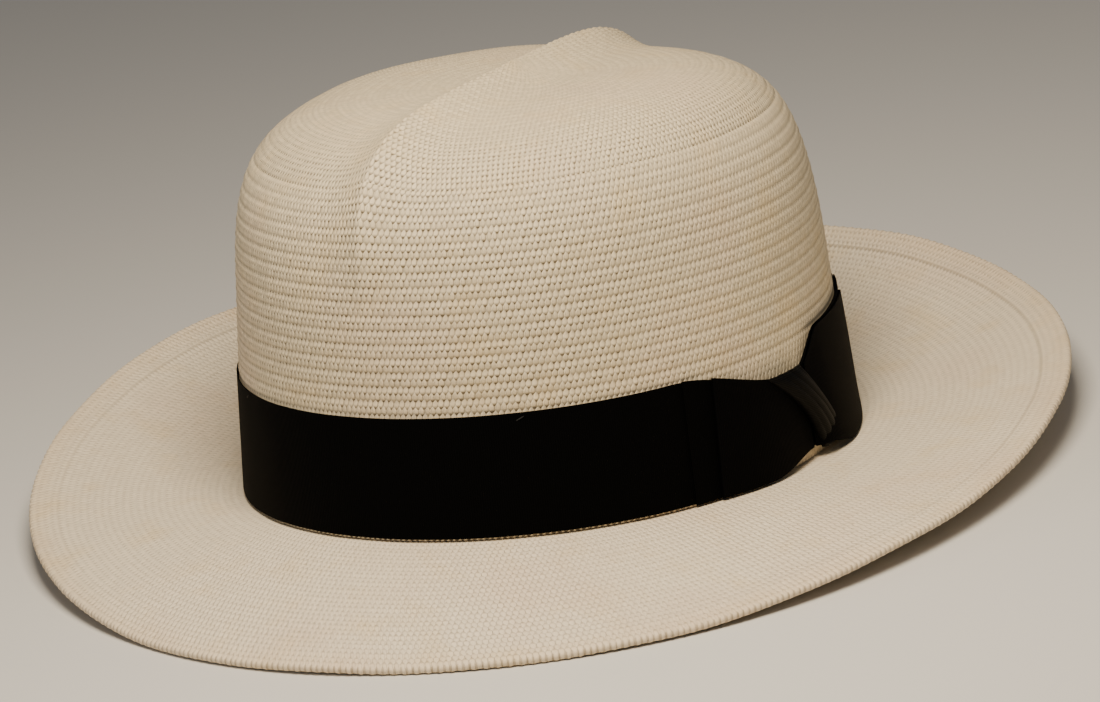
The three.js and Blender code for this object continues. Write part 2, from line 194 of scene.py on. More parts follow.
def crown_surface(phi, side_arc, tip_share, lift):
    """Points of the crown, `lift` millimetres off its plain outer face, ridge included."""
    share, z = crown_profile(phi, side_arc, tip_share)
    ahead = crown_profile(phi, side_arc + 0.4 * (tip_share == 0), np.minimum(tip_share + 0.004, 1))
    behind = crown_profile(phi, side_arc - 0.4 * (tip_share == 0), np.maximum(tip_share - 0.004, 0))
    radius = np.hypot(HALF_WIDE * np.sin(phi), HALF_LONG * np.cos(phi))[:, None]
    run, rise = (ahead[0] - behind[0]) * radius, ahead[1] - behind[1]
    size = np.maximum(np.hypot(run, rise), 1e-9)
    lean, climb = rise / size, -run / size
    climb = np.where(tip_share >= 1, 1, climb)
    lean = np.where(tip_share >= 1, 0, lean)
    x = HALF_WIDE * share * np.sin(phi)[:, None]
    p = np.stack([x, -HALF_LONG * share * np.cos(phi)[:, None], z], axis=-1)
    height = ridge(x, z / CROWN_HIGH) + lift
    p += outward(phi)[:, None, :] * (lean * height)[..., None]
    p[..., 2] += climb * height
    return p


print("crown side:", SIDE_ROWS, "rows,", SIDE_ARC, "mm along the straw")

# %% [markdown]
# ## Shape of the brim
#
# The brim leaves the crown's foot almost flat and rises or falls towards its edge: down at
# the front, up at the back. The height of the edge is a short Fourier sum round the hat,
# and the distance to the edge follows from the straw's length. Real straw is never
# perfectly even, so a few slow waves of under a millimetre are added to the edge.

# %% Brim surface
EDGE = (4.9, -20.0, -2.9, 0.6, 0.4)  # mean, front to back, saddle and two finer waves
EDGE_LEAN = -4.6
HEM_WIDE = 10.0
LAYER_GAP = 0.3


def edge_z(phi):
    """Sum of EDGE[k] cos(k phi), plus lean sin |sin| and slow waves of the straw."""
    waves = 0.35 * np.sin(7 * phi + 0.6) + 0.25 * np.sin(11 * phi + 2.1) + 0.12 * np.sin(23 * phi)
    lean = EDGE_LEAN * np.sin(phi) * np.abs(np.sin(phi))
    return sum(high * np.cos(k * phi) for k, high in enumerate(EDGE)) + lean + waves


def brim_reach(phi):
    """Plan distance from foot to edge: the straw's chord with the rise taken out."""
    arc = 65.4 - 2.2 * np.cos(phi) - 1.6 * np.cos(2 * phi)
    return np.sqrt((arc * 0.985) ** 2 - edge_z(phi) ** 2)


def brim_surface(phi, out, lift):
    """Points `out` from the foot in plan, `lift` off the brim's upper face."""
    phi, out, lift = np.broadcast_arrays(*(np.asarray(v, float) for v in (phi, out, lift)))
    reach = brim_reach(phi)
    curl = 1.45 - 0.15 * np.cos(phi)
    base = foot_z(phi) - LAYER_GAP
    rise = edge_z(phi) - base
    u = np.clip(out / reach, 1e-6, 1.02)
    z = base + rise * u**curl
    slope = rise * curl * u ** (curl - 1) / reach
    size = np.hypot(1, slope)
    p = np.stack([HALF_WIDE * np.sin(phi), -HALF_LONG * np.cos(phi), z + lift / size], axis=-1)
    return p + outward(phi) * (out - lift * slope / size)[..., None]


print("brim reach in mm", [round(float(brim_reach(np.radians(a)))) for a in (0, 90, 180, 270)])

# %% [markdown]
# ## Making a mesh from a grid
#
# Every piece is a closed body swept round the hat or along a line: an array of sections,
# each one a closed loop of points. One builder joins neighbouring sections with quads. A
# ring joins its last section to its first, a bar gets two caps, and a dome lets all its
# sections meet at two poles. Faces are turned so that the body's volume is positive.

# %% The mesh builder
def signed_volume(points, quads):
    """Sum of the tetrahedra from the origin to each quad's two triangles."""
    a, b, c, d = (points[quads[:, i]] for i in range(4))
    return float(np.sum(a * np.cross(b, c)) + np.sum(a * np.cross(c, d))) / 6


def grid_quads(rows, size, round_rows, round_size):
    """Corner numbers of the quads of a rows x size grid, closed either way on request."""
    i, j = np.meshgrid(
        np.arange(rows - (not round_rows)), np.arange(size - (not round_size)), indexing="ij"
    )
    i, j = i.ravel(), j.ravel()
    n, m = (i + 1) % rows, (j + 1) % size
    quads = np.stack([i * size + j, i * size + m, n * size + m, n * size + j], axis=1)
    corners = np.stack([i, j, i, j + 1, i + 1, j + 1, i + 1, j], axis=1).reshape(-1, 4, 2)
    return quads, corners


def make_piece(name, sections, kind, uv=None, sharp=50):
    """A closed mesh from sections[k, i] = point i of section k.

    uv[k, i] is the map "weave". Where the sections close on themselves it has one more k.
    """
    rows, size = sections.shape[:2]
    quads, corners = grid_quads(rows, size, kind != "bar", kind != "dome")
    if kind == "dome":
        number = np.arange(rows * size)
        number[::size] = 0
        number[size - 1 :: size] = size - 1
        quads = number[quads]
    points = to_row(sections.reshape(-1, 3))
    flipped = signed_volume(points, quads) < 0
    if flipped:
        quads, corners = quads[:, ::-1], corners[:, ::-1]
    faces = quads.tolist()
    if kind == "dome":
        faces = [list(dict.fromkeys(f)) for f in faces]
    if kind == "bar":
        faces += bar_ends(rows, size, flipped)
    mesh = bpy.data.meshes.new(name)
    mesh.from_pydata(points.tolist(), [], faces)
    if uv is not None:
        layer = mesh.uv_layers.new(name="weave")
        values = uv[corners[..., 0], corners[..., 1] % uv.shape[1]].reshape(-1, 2)
        if kind == "dome":
            values = values[np.array([keep for f in quads.tolist() for keep in kept_corners(f)])]
        flat = np.zeros((len(mesh.loops), 2), np.float32)
        flat[: len(values)] = values
        layer.data.foreach_set("uv", flat.ravel())
    mesh.polygons.foreach_set("use_smooth", np.ones(len(mesh.polygons), bool))
    mesh.update()
    mesh.set_sharp_from_angle(angle=np.radians(sharp))
    mesh.validate()
    print(f"{name}: {sum(len(f) - 2 for f in faces)} triangles")
    return new_object(name, mesh)


def bar_ends(rows, size, flipped):
    """The two caps of a bar, facing outwards like its quads."""
    ends = [list(range(size))[::-1], list(range((rows - 1) * size, rows * size))]
    return [end[::-1] for end in ends] if flipped else ends


def kept_corners(face):
    """Which corners stay when a quad's repeated corner is dropped."""
    return [face.index(v) == i for i, v in enumerate(face)]


def new_object(name, data):
    """An object in the scene that shows a mesh, a lamp or a camera."""
    thing = bpy.data.objects.new(name, data)
    bpy.context.scene.collection.objects.link(thing)
    return thing


def grid_map(along, across):
    """The map of a grid of points: the two coordinates of each."""
    return np.stack(np.meshgrid(along, across, indexing="ij"), axis=-1)


def place(piece, nodes, slot, material):
    """Lets the piece ride on the hat, stand for CAD nodes and take its finish."""
    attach(piece, "root")
    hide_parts(*nodes)
    piece.data.materials.append(material)


# %% [markdown]
# ## Node helpers
#
# A material is a small graph of nodes. One function adds any node, gives it its settings
# and plain values, and links what other nodes pass to it. Colours are written as hex
# values, the way a paint chart gives them, and turned into linear light by another.

# %% Colour and node helpers
def colour(hex_code):
    """sRGB hex to linear RGBA: ((c + 0.055) / 1.055)^2.4 over the dark end."""
    c = np.array([int(hex_code[i : i + 2], 16) for i in (1, 3, 5)]) / 255
    linear = np.where(c <= 0.04045, c / 12.92, ((c + 0.055) / 1.055) ** 2.4)
    return (*linear.tolist(), 1.0)


def add(tree, kind, *values, **named):
    """Adds a node and returns its first live output.

    kind = the node's name and, for arithmetic, its operation. The values go to the live
    inputs in order. Capitalised names are inputs too, and lower-case ones are settings.
    """
    kind, _, operation = kind.partition(" ")
    node = tree.nodes.new("ShaderNode" + kind)
    settings = {key: value for key, value in named.items() if key.islower()}
    if operation:
        settings["operation"] = operation
    for key, value in settings.items():
        setattr(node, key, value)
    inputs = list(zip([socket for socket in node.inputs if socket.enabled], values))
    inputs += [(node.inputs[key.replace("_", " ")], named[key]) for key in named if key not in settings]
    for socket, value in inputs:
        if isinstance(value, bpy.types.NodeSocket):
            tree.links.new(value, socket)
        else:
            socket.default_value = value
    return next((socket for socket in node.outputs if socket.enabled), None)


def new_material(name):
    """An empty material and its tree of nodes."""
    material = bpy.data.materials.new(name)
    material.use_nodes = True
    material.node_tree.nodes.clear()
    return material, material.node_tree


print("pale straw in linear light:", [round(v, 3) for v in colour("#d9c9a9")[:3]])

# %% [markdown]
# ## Woven toquilla straw
#
# Fine panama straw shows as rows of small upright leaves: each is one strand coming over
# its neighbours, about 1.8 mm wide, with its pointed tip lapping over the row above and a
# gap where two tips part. Each row is shifted by half a stitch. The material works
# this out from two numbers kept on the mesh: the share of a turn round the hat and the
# count of rows. The stitches in a row follow from the row's own girth, so that they keep
# their size as the rows widen over the brim or close in on the tip. The shade in the gaps
# and notches is painted into the colour as a dark tone, and so is a painted highlight on
# the tips.

# %% One row of leaves
DRIFT = 0.31  # share of a stitch by which each widening row runs ahead of the last


def leaf(tree, turn, row, index_shift, stitches, growth):
    """One row's leaves here: 1 - (distance across / half width)^2, height up and tint.

    The half width is even up to 0.75 of a row and closes to a point near 1.45 rows.
    """
    floor = add(tree, "Math SUBTRACT", add(tree, "Math FLOOR", row), index_shift)
    up = add(tree, "Math SUBTRACT", row, floor)
    count = add(tree, "Math ROUND", add(tree, "Math MULTIPLY_ADD", floor, growth, stitches))
    shift = add(tree, "Math MULTIPLY", add(tree, "Math FLOORED_MODULO", floor, 2.0), 0.5)
    across = add(tree, "Math MULTIPLY_ADD", turn, count, shift)
    if growth > 0:
        across = add(tree, "Math MULTIPLY_ADD", floor, DRIFT, across)
    cell = add(tree, "Math FLOOR", across)
    seed = add(tree, "CombineXYZ", add(tree, "Math FLOORED_MODULO", cell, count), floor)
    chance = add(tree, "TexWhiteNoise", seed, noise_dimensions="2D")
    other = add(tree, "SeparateXYZ", chance.node.outputs["Color"]).node.outputs
    wobble = add(tree, "Math MULTIPLY_ADD", other["X"], 0.12, -0.56)
    middle = add(tree, "Math ADD", add(tree, "Math SUBTRACT", across, cell), wobble)
    lean = add(tree, "Math MULTIPLY_ADD", shift, -0.28, -0.14)
    middle = add(tree, "Math MULTIPLY_ADD", add(tree, "Math SUBTRACT", up, 0.75), lean, middle)
    point = add(tree, "Math MULTIPLY_ADD", other["Y"], 0.24, 0.58)
    past = add(tree, "Math DIVIDE", add(tree, "Math SUBTRACT", up, 0.75), point)
    past = add(tree, "Math MINIMUM", add(tree, "Math MAXIMUM", past, 0.0), 1.0)
    width = add(tree, "Math MULTIPLY_ADD", add(tree, "Math POWER", past, 1.25), -0.52, 0.52)
    edge = add(tree, "Math DIVIDE", middle, add(tree, "Math MAXIMUM", width, 0.02))
    inside = add(tree, "Math MULTIPLY_ADD", add(tree, "Math MULTIPLY", edge, edge), -1.0, 1.0)
    return inside, up, chance


def leaf_height(tree, inside, up):
    """Rounded across and rising to the tip: sqrt(inside) (0.3 + 0.45 up), and the root."""
    root = add(tree, "Math SQRT", add(tree, "Math MAXIMUM", inside, 0.0))
    return add(tree, "Math MULTIPLY", root, add(tree, "Math MULTIPLY_ADD", up, 0.45, 0.3)), root


def pick(tree, share, first, second):
    """first + share (second - first)."""
    return add(tree, "Math MULTIPLY_ADD", add(tree, "Math SUBTRACT", second, first), share, first)


# %% Straw material
def straw_material(name, tones, stitches, growth, depth, contrast, fade, side_fade, hem_from=None):
    """Straw with `stitches` round in row 0 and `growth` more in each row after it.

    tones = colours of a leaf's body, the painted highlight on its tip and the painted shade
    in the gaps. depth = bump in millimetres.
    fade = (first row, last row, share left): the stitches press flatter along the rows.
    side_fade = how much weaker the bump and the painted shade and highlight are at the two
    sides. hem_from = first folded row.
    """
    pale, tip_highlight, gap_shade = (colour(tone) for tone in tones)
    material, tree = new_material(name)
    weave = add(tree, "SeparateXYZ", add(tree, "UVMap", uv_map="weave")).node.outputs
    turn, row = weave["X"], weave["Y"]
    here, up, tint = leaf(tree, turn, row, 0.0, stitches, growth)
    below, below_up, below_tint = leaf(tree, turn, row, 1.0, stitches, growth)
    lapped = add(tree, "Math GREATER_THAN", below, 0.0)
    low, low_root = leaf_height(tree, here, up)
    high, high_root = leaf_height(tree, below, below_up)
    relief = pick(tree, lapped, low, high)
    shade = pick(tree, lapped, tint, below_tint)
    # Painted shade: the notch between two tips of the row below is painted dark at its foot,
    # and so is each side of a leaf, where shade falls between the strands.
    uneven_notch_shade = add(tree, "Math MULTIPLY_ADD", tint, 0.7, 0.65)
    notch_shade = add(tree, "Math MULTIPLY", add(tree, "MapRange", up, 0.05, 0.5, 1.0, 0.0), uneven_notch_shade)
    leaf_side_shade = add(tree, "MapRange", low_root, 0.0, 0.5, 0.6, 0.0)
    painted_shade = add(tree, "Math MAXIMUM", notch_shade, leaf_side_shade)
    painted_shade = pick(tree, lapped, painted_shade, add(tree, "MapRange", high_root, 0.0, 0.4, 0.2, 0.0))
    # Painted highlight: the tips of the row below are painted in the lighter tip tone.
    painted_highlight = add(tree, "MapRange", below_up, 1.5, 0.95, 0.7, 0.0)
    painted_highlight = add(tree, "Math MULTIPLY", lapped, painted_highlight)
    first, last, left = fade
    press = add(tree, "MapRange", row, first, last, 1.0, left)
    # The bump and the painted shade and highlight are weaker at the hat's two sides than at its
    # front and back.
    twice = add(tree, "Math MULTIPLY_ADD", turn, 4 * np.pi, -2 * np.radians(18.0))
    side_faded = add(tree, "Math MULTIPLY_ADD", add(tree, "Math COSINE", twice), side_fade, 1 - side_fade)
    press = add(tree, "Math MULTIPLY", press, side_faded)
    # Slow blotches: strands differ from pinkish to yellowish along the leaf fibre.
    where = add(tree, "TexCoord").node.outputs["Object"]
    blotch = add(tree, "TexNoise", where, Scale=70.0, Detail=3.0)
    patch = add(tree, "TexNoise", where, Scale=22.0)
    fleck = add(tree, "TexNoise", where, Scale=600.0)
    warm = add(tree, "MapRange", blotch, 0.52, 0.75, 0.0, 0.45)
    pink = add(tree, "MapRange", patch, 0.5, 0.75, 0.0, 0.4)
    tone = add(tree, "Mix", warm, pale, colour("#dcc396"), data_type="RGBA")
    tone = add(tree, "Mix", pink, tone, colour("#d9bfa6"), data_type="RGBA")
    if hem_from is not None:
        hem = add(tree, "MapRange", row, hem_from, hem_from + 3, 0.0, 0.3)
        tone = add(tree, "Mix", hem, tone, colour("#dcc19b"), data_type="RGBA")
        # The folded edge ends in a line of stitches that draws the straw in. Its crease is bumped in
        # and painted with the dark gap tone as painted shade, stronger towards the back.
        off_line = add(tree, "Math ABSOLUTE", add(tree, "Math SUBTRACT", row, hem_from))
        crease_and_shade = add(tree, "MapRange", off_line, 0.1, 0.35, 0.3, 0.0)
        ahead = add(tree, "Math COSINE", add(tree, "Math MULTIPLY", turn, 2 * np.pi))
        clearer_behind = add(tree, "Math MULTIPLY_ADD", ahead, -0.6, 0.7)
        crease_and_shade = add(tree, "Math MULTIPLY", crease_and_shade, clearer_behind)
        tone = add(tree, "Mix", crease_and_shade, tone, gap_shade, data_type="RGBA")
        relief = add(tree, "Math SUBTRACT", relief, add(tree, "Math MULTIPLY", crease_and_shade, 1.5))
    spread = add(tree, "Math MULTIPLY_ADD", shade, 0.16 * contrast, 1 - 0.08 * contrast)
    grain = add(tree, "Math MULTIPLY_ADD", add(tree, "Math SUBTRACT", fleck, 0.5), 0.14, 1.0)
    uneven_tone = add(tree, "Math MULTIPLY", spread, grain)
    tone = add(tree, "Mix", 1.0, tone, uneven_tone, data_type="RGBA", blend_type="MULTIPLY")
    # The painted shade and the painted highlight go into the colour, scaled by the contrast and the
    # press.
    painted_shade_strength = add(tree, "Math MULTIPLY", add(tree, "Math MULTIPLY", painted_shade, contrast), press)
    tone = add(tree, "Mix", add(tree, "Math MULTIPLY", painted_highlight, press), tone, tip_highlight, data_type="RGBA")
    tone = add(tree, "Mix", painted_shade_strength, tone, gap_shade, data_type="RGBA")
    pressed = add(tree, "Math MULTIPLY", relief, press)
    bump = add(tree, "Bump", Height=pressed, Distance=depth / 1000, Strength=1.0)
    fine = add(tree, "Bump", Height=fleck, Distance=0.00008, Normal=bump)
    gloss = {"Roughness": 0.62, "Specular_IOR_Level": 0.3}
    add(tree, "OutputMaterial", add(tree, "BsdfPrincipled", Base_Color=tone, Normal=fine, **gloss))
    return material


# %% [markdown]
# ## Relief of the weave in the mesh
#
# The biggest steps of the weave are in the mesh too, because they show on the outline and
# catch raking light: each leaf stands up to 0.17 mm proud, each row overlaps the next like
# a shingle, and every second row makes a slightly higher ring. On the crown's side the
# mesh has two columns for each stitch and three rows of points for each row of leaves. The
# tip and the brim are smoother, so they have two.

# %% Weave relief as a grid function
rng = np.random.default_rng(7)
uneven = rng.normal(0, 1, (97, 1201))


def weave_relief(turn, row, stitches, growth, leaf_high, ring_high):
    """Leaf bulge cos^2 across, shingle slope up the row, a ring every two rows."""
    number = np.floor(row + 1e-6)
    up = row - number
    count = np.round(stitches + growth * number)
    across = turn * count + 0.5 * (number % 2) + (DRIFT * number if growth > 0 else 0)
    bulge = np.cos(np.pi * (across - np.floor(across) - 0.5)) ** 2
    rough = uneven[(number % 97).astype(int), (np.floor(across) % 1201).astype(int)]
    ring = 0.5 - 0.5 * np.cos(np.pi * row)
    shingle = bulge * (0.4 + 0.6 * up) + 1.3 * (up - 0.8) + 0.15 * rough
    return leaf_high * shingle + ring_high * (ring - 1)


print("unevenness of the stitches, spread", round(float(uneven.std()), 3))

# %% [markdown]
# ## The crown
#
# One woven shell about 1.2 mm thick, made as two pieces: the side, up to just before the
# corner, and the tip. Hidden straw behind the band, and the whole inner face, get few
# rows of points. Slow dents of a fraction of a millimetre keep the outline from looking
# machined.

# %% Crown side
STRAW = 1.2
SIDE_STITCHES = 334
COLUMNS = 2 * SIDE_STITCHES
HIDDEN_ROWS = 15
turns = np.arange(COLUMNS + 1) / COLUMNS
phis = 2 * np.pi * turns


def dents(phi, arc):
    """Slow waves of the blocked straw, in millimetres."""
    waves = 0.35 * np.sin(3 * phi + arc / 31) + 0.22 * np.sin(7 * phi - arc / 17 + 1)
    return waves * smooth(arc, 36, 70)


shown = np.arange(HIDDEN_ROWS * 3, SIDE_ROWS * 3 + 1) / 3
row_line = np.concatenate([np.linspace(0, HIDDEN_ROWS, 7)[:-1], shown])
grid_turn, grid_row = np.meshgrid(turns[:-1], row_line, indexing="ij")
fade = smooth(grid_row, HIDDEN_ROWS + 0.5, HIDDEN_ROWS + 4)
flatter = 1 - 0.5 * smooth(grid_row, 38, SIDE_ROWS)
lift = weave_relief(grid_turn, grid_row, SIDE_STITCHES, 0, 0.17 * flatter, 0.28) * fade
lift += dents(2 * np.pi * grid_turn, grid_row * ROW)
outer = crown_surface(phis[:-1], row_line[None, :] * ROW, 0.0, lift)
inner_line = np.linspace(SIDE_ARC, 0, 16)[None, :]
inner_dent = dents(phis[:-1][:, None], inner_line)
inner = crown_surface(phis[:-1], inner_line, 0.0, inner_dent - STRAW)
uv_rows = np.concatenate([row_line, inner_line[0] / ROW])
uv_side = grid_map(turns, uv_rows)
side_sections = np.concatenate([outer, inner], axis=1)
crown_side = make_piece("crown_side", side_sections, "ring", uv_side, sharp=75)

# %% Crown tip
TIP_ROWS = 46
tip_line = np.linspace(0, 1, TIP_ROWS * 2 + 1)
tip_turn, tip_share = np.meshgrid(turns[:-1], tip_line, indexing="ij")
tip_fade = 1 - smooth(tip_share, 0.9, 0.99)
tip_row = SIDE_ROWS + tip_share * TIP_ROWS
tip_flatter = 1 - 0.5 * smooth(tip_share, 0, 0.3)
tip_lift = weave_relief(tip_turn, tip_row, SIDE_STITCHES, 0, 0.085 * tip_flatter, 0.24) * tip_fade
tip_lift += dents(2 * np.pi * tip_turn, SIDE_ARC) * (1 - smooth(tip_share, 0, 0.8))
tip_outer = crown_surface(phis[:-1], SIDE_ARC, tip_line[None, :], tip_lift)
under_line = np.linspace(0, 1, 26)
under_dent = dents(phis[:-1][:, None], SIDE_ARC) * (1 - smooth(under_line[None, :], 0, 0.8))
tip_inner = crown_surface(phis[:-1], SIDE_ARC, under_line[None, :], under_dent - STRAW)
tip_sections = np.concatenate([tip_outer[:, ::-1], tip_inner], axis=1)
tip_rows = 1 + np.concatenate([tip_line[::-1], under_line]) * TIP_ROWS
uv_tip = grid_map(turns, tip_rows)
crown_tip = make_piece("crown_tip", tip_sections, "dome", uv_tip, sharp=75)

# %% Straw of the crown
# Tones: the straw's body, a painted highlight for the tips and a painted shade for the gaps.
CROWN_TONES = ("#d9c9a9", "#f3e7cb", "#584c39")
straw_side = straw_material(
    "toquilla_straw_side",
    CROWN_TONES,
    SIDE_STITCHES,
    growth=0.0,
    depth=0.7,
    contrast=1.1,
    fade=(40, SIDE_ROWS, 0.85),
    side_fade=0.36,
)
straw_tip = straw_material(
    "toquilla_straw_tip",
    CROWN_TONES,
    SIDE_STITCHES * (1 + 1 / TIP_ROWS),
    growth=-SIDE_STITCHES / TIP_ROWS,
    depth=0.5,
    contrast=0.93,
    fade=(3, 20, 0.35),
    side_fade=0.12,
)
place(crown_side, ["straw_crown"], "straw", straw_side)
place(crown_tip, ["straw_crown"], "straw", straw_tip)

# %% [markdown]
# ## The brim
#
# The brim goes on from the crown in wider and wider rows. At the edge the straw is folded
# under and trimmed, which doubles it over the last 10 mm. The fold shows on top as a
# shallow step, and the edge itself is slightly saw-toothed, one tooth for each bent
# strand.

# %% Brim
BRIM_COLUMNS = 930
BRIM_ROWS = 30
BRIM_START = 342
BRIM_GROWTH = 7.9
TEETH = 310
BRIM_THICK = 1.5
HEM_THICK = 2.3
FOOT_IN = 1.5
RIM_STEPS = 6
HEM_ROW = 26.35  # the row that the folded edge's stitches run through
brim_turn = np.arange(BRIM_COLUMNS + 1) / BRIM_COLUMNS
brim_phi = 2 * np.pi * brim_turn[:-1][:, None]
reach = brim_reach(brim_phi)
tooth = 0.28 * np.cos(TEETH * brim_phi) * (0.7 + 0.3 * np.sin(5 * brim_phi))
share_line = np.linspace(0, 1, BRIM_ROWS * 2 + 1)[None, :-1]
out_line = share_line * (reach - 0.8)
brim_grid = brim_turn[:-1][:, None] + 0 * share_line
brim_lift = weave_relief(brim_grid, share_line * BRIM_ROWS, BRIM_START, BRIM_GROWTH, 0.06, 0.2)
hem_at = reach - HEM_WIDE
hem_step = 0.28 * smooth(out_line, hem_at - 0.6, hem_at + 0.6)
hem_lines = 0.1 * np.cos(2 * np.pi * (reach - out_line) / 1.9)
hem_lines *= smooth(out_line, hem_at, hem_at + 1)
settle = smooth(share_line, 0, 0.04)
brim_top = brim_surface(brim_phi, out_line, (brim_lift + hem_lines) * settle + hem_step - 0.1)
rim_angle = np.linspace(0.5, 3.0, RIM_STEPS)[None, :]
rim_out = reach - 1.0 + tooth * 0.7 + 0.9 * np.sin(rim_angle)
rim_lift = 0.1 + (np.cos(rim_angle) - 1) * HEM_THICK / 2
rim = brim_surface(brim_phi, rim_out, rim_lift)
from_edge = np.concatenate([[1.6, 4, 7, 9.3, 9.9], np.linspace(12, 60, 9)])
under_out = np.maximum(reach - from_edge[None, :], 0.0)
under_lift = np.where(under_out > reach - 9.6, -HEM_THICK, -BRIM_THICK)
under = brim_surface(brim_phi, under_out, under_lift)
foot = brim_surface(brim_phi, -FOOT_IN, np.array([[-BRIM_THICK, 0.0]]))
brim_sections = np.concatenate([foot[:, 1:], brim_top, rim, under, foot[:, :1]], axis=1)
rows_top = share_line[0] * BRIM_ROWS
rows_under = np.concatenate([[BRIM_ROWS] * RIM_STEPS, BRIM_ROWS * (1 - from_edge / 65)])
uv_brim_rows = np.concatenate([[0], rows_top, rows_under, [0]])
uv_brim = grid_map(brim_turn, uv_brim_rows)
straw_brim = make_piece("brim", brim_sections, "ring", uv_brim, sharp=60)

# %% Straw of the brim
# The brim's tones: the straw's body, a painted highlight for the tips and a painted shade for the gaps.
brim_straw = straw_material(
    "toquilla_straw_brim",
    ("#e4d6bc", "#f0e5cf", "#7c6a50"),
    BRIM_START,
    growth=BRIM_GROWTH,
    depth=0.4,
    contrast=0.5,
    fade=(0, 1, 1.0),
    side_fade=0.2,
    hem_from=HEM_ROW,
)
place(straw_brim, ["straw_brim"], "straw", brim_straw)

# %% [markdown]
# ## Grosgrain ribbon
#
# Grosgrain is a dense ribbon with ribs across its width, about 0.65 mm apart, and a firm
# woven selvedge at both edges. It is nearly black and almost matt. The ribs are worked out
# from the distance along the ribbon kept on the mesh, in millimetres, so they follow the
# ribbon round each fold.

# %% Ribbon material
RIB = 0.65


def ribbon_material(name, base, specular, roughness, rib_depth):
    """Black ribbon, its ribs a sine along it, with painted shade in the grooves between them;
    both the map and rib_depth are millimetres.
    """
    material, tree = new_material(name)
    uv = add(tree, "UVMap", uv_map="weave")
    along = add(tree, "SeparateXYZ", uv)
    wave = add(tree, "Math SINE", add(tree, "Math MULTIPLY", along, 2 * np.pi / RIB))
    rib_and_groove_shade = add(tree, "Math POWER", add(tree, "Math MULTIPLY_ADD", wave, 0.5, 0.5), 0.6)
    fine = add(tree, "TexNoise", uv, Scale=3.0, Detail=3.0)
    # Painted shade: the grooves between the ribs are painted darker than the ribs' tops.
    tone = add(tree, "Mix", rib_and_groove_shade, colour("#010101"), colour(base), data_type="RGBA")
    mottled = add(tree, "Math MULTIPLY_ADD", fine, 0.5, 0.75)
    tone = add(tree, "Mix", 1.0, tone, mottled, data_type="RGBA", blend_type="MULTIPLY")
    height = add(tree, "Math MULTIPLY_ADD", fine, 0.25, rib_and_groove_shade)
    bump = add(tree, "Bump", Height=height, Distance=rib_depth / 1000)
    gloss = {"Roughness": roughness, "Specular_IOR_Level": specular}
    add(tree, "OutputMaterial", add(tree, "BsdfPrincipled", Base_Color=tone, Normal=bump, **gloss))
    return material


grosgrain = ribbon_material("black_grosgrain", "#030303", 0.03, 0.7, 0.1)
grosgrain_bow = ribbon_material("black_grosgrain_bow", "#030304", 0.03, 0.65, 0.1)
print("ribs across the ribbon, every", RIB, "mm")

# %% [markdown]
# ## The band
#
# The ribbon lies flat round the foot of the crown, 0.6 mm over the brim. The knot pulls
# its top edge down by up to 9 mm and its lower edge up a little. Ribbon is made here as a
# thin closed strip: a line of positions along it, a height across it, and a thickness off
# the straw. One function builds all the ribbon pieces, from an angle, a distance off the
# wall and the two edges' heights at each step.

# %% Edges of the ribbon
BAND_HIGH = 34.3


def band_top(degrees):
    """Height of the ribbon's top edge over the foot, with the knot's pull."""
    pull = smooth(degrees, 56, 83) * (1 - smooth(degrees, 86, 96))
    return 0.6 + BAND_HIGH + 0.75 * np.sin(np.radians(degrees)) ** 2 - 9.0 * pull


def band_foot(degrees):
    """Height of the ribbon's lower edge over the foot, with the knot's pull."""
    return 0.6 + 3.0 * smooth(degrees, 74, 86) * (1 - smooth(degrees, 90, 99))


print("top edge at the knot", round(band_top(0) - band_top(84), 1), "mm lower than in front")

# %% Ribbon strips
ACROSS = 14
V_LINE = np.linspace(0, 1, ACROSS)[None, :]


def ribbon_strip(name, degrees, off, low, high, kind, thick, sharp=50):
    """A strip through angle `degrees` and distance `off`, between two edges' heights.

    Each is one number for all steps, or [step]; the first two may be [step, across].
    """
    degrees, off, low, high = (np.asarray(v, float) for v in (degrees, off, low, high))
    degrees, off = (v if v.ndim == 2 else v.reshape(-1, 1) + 0 * V_LINE for v in (degrees, off))
    low, high = low.reshape(-1, 1), high.reshape(-1, 1)
    up = low + (high - low) * V_LINE
    middle = wall(np.radians(degrees), up, off)
    along = np.roll(middle, -1, 0) - np.roll(middle, 1, 0)
    if kind == "bar":
        along[0], along[-1] = middle[1] - middle[0], middle[-1] - middle[-2]
    climb = np.gradient(middle, axis=1)
    normal = np.cross(along, climb)
    normal /= np.linalg.norm(normal, axis=-1, keepdims=True)
    front, back = middle + normal * thick / 2, middle - normal * thick / 2
    step = np.linalg.norm(np.diff(middle[:, ACROSS // 2], axis=0), axis=-1)
    run = np.concatenate([[0], np.cumsum(step)])
    if kind == "ring":
        run = np.concatenate([run, [run[-1] + step[-1]]])
    width = float(np.linalg.norm(middle[0, -1] - middle[0, 0]))
    side = np.concatenate([V_LINE[0], V_LINE[0, ::-1]]) * width
    sections = np.concatenate([front, back[:, ::-1]], axis=1)
    piece = make_piece(name, sections, kind, grid_map(run, side), sharp)
    return piece, float(run[-1])


def ribbon_piece(name, node, finish, rests_on, held, *strip, **more):
    """A strip that stands for one CAD node, with its finish."""
    piece, length = ribbon_strip(name, *strip, **more)
    place(piece, [node], *finish)


# %% Band
RIBBON, BOW_RIBBON = ("ribbon", grosgrain), ("ribbon", grosgrain_bow)
band_degrees = np.arange(0, 360, 0.75)
band_phi = np.radians(band_degrees)
band_off = 0.5 + 0.06 * np.sin(band_phi * 9) + 0.04 * np.sin(band_phi * 23)
band_edges = band_foot(band_degrees), band_top(band_degrees)
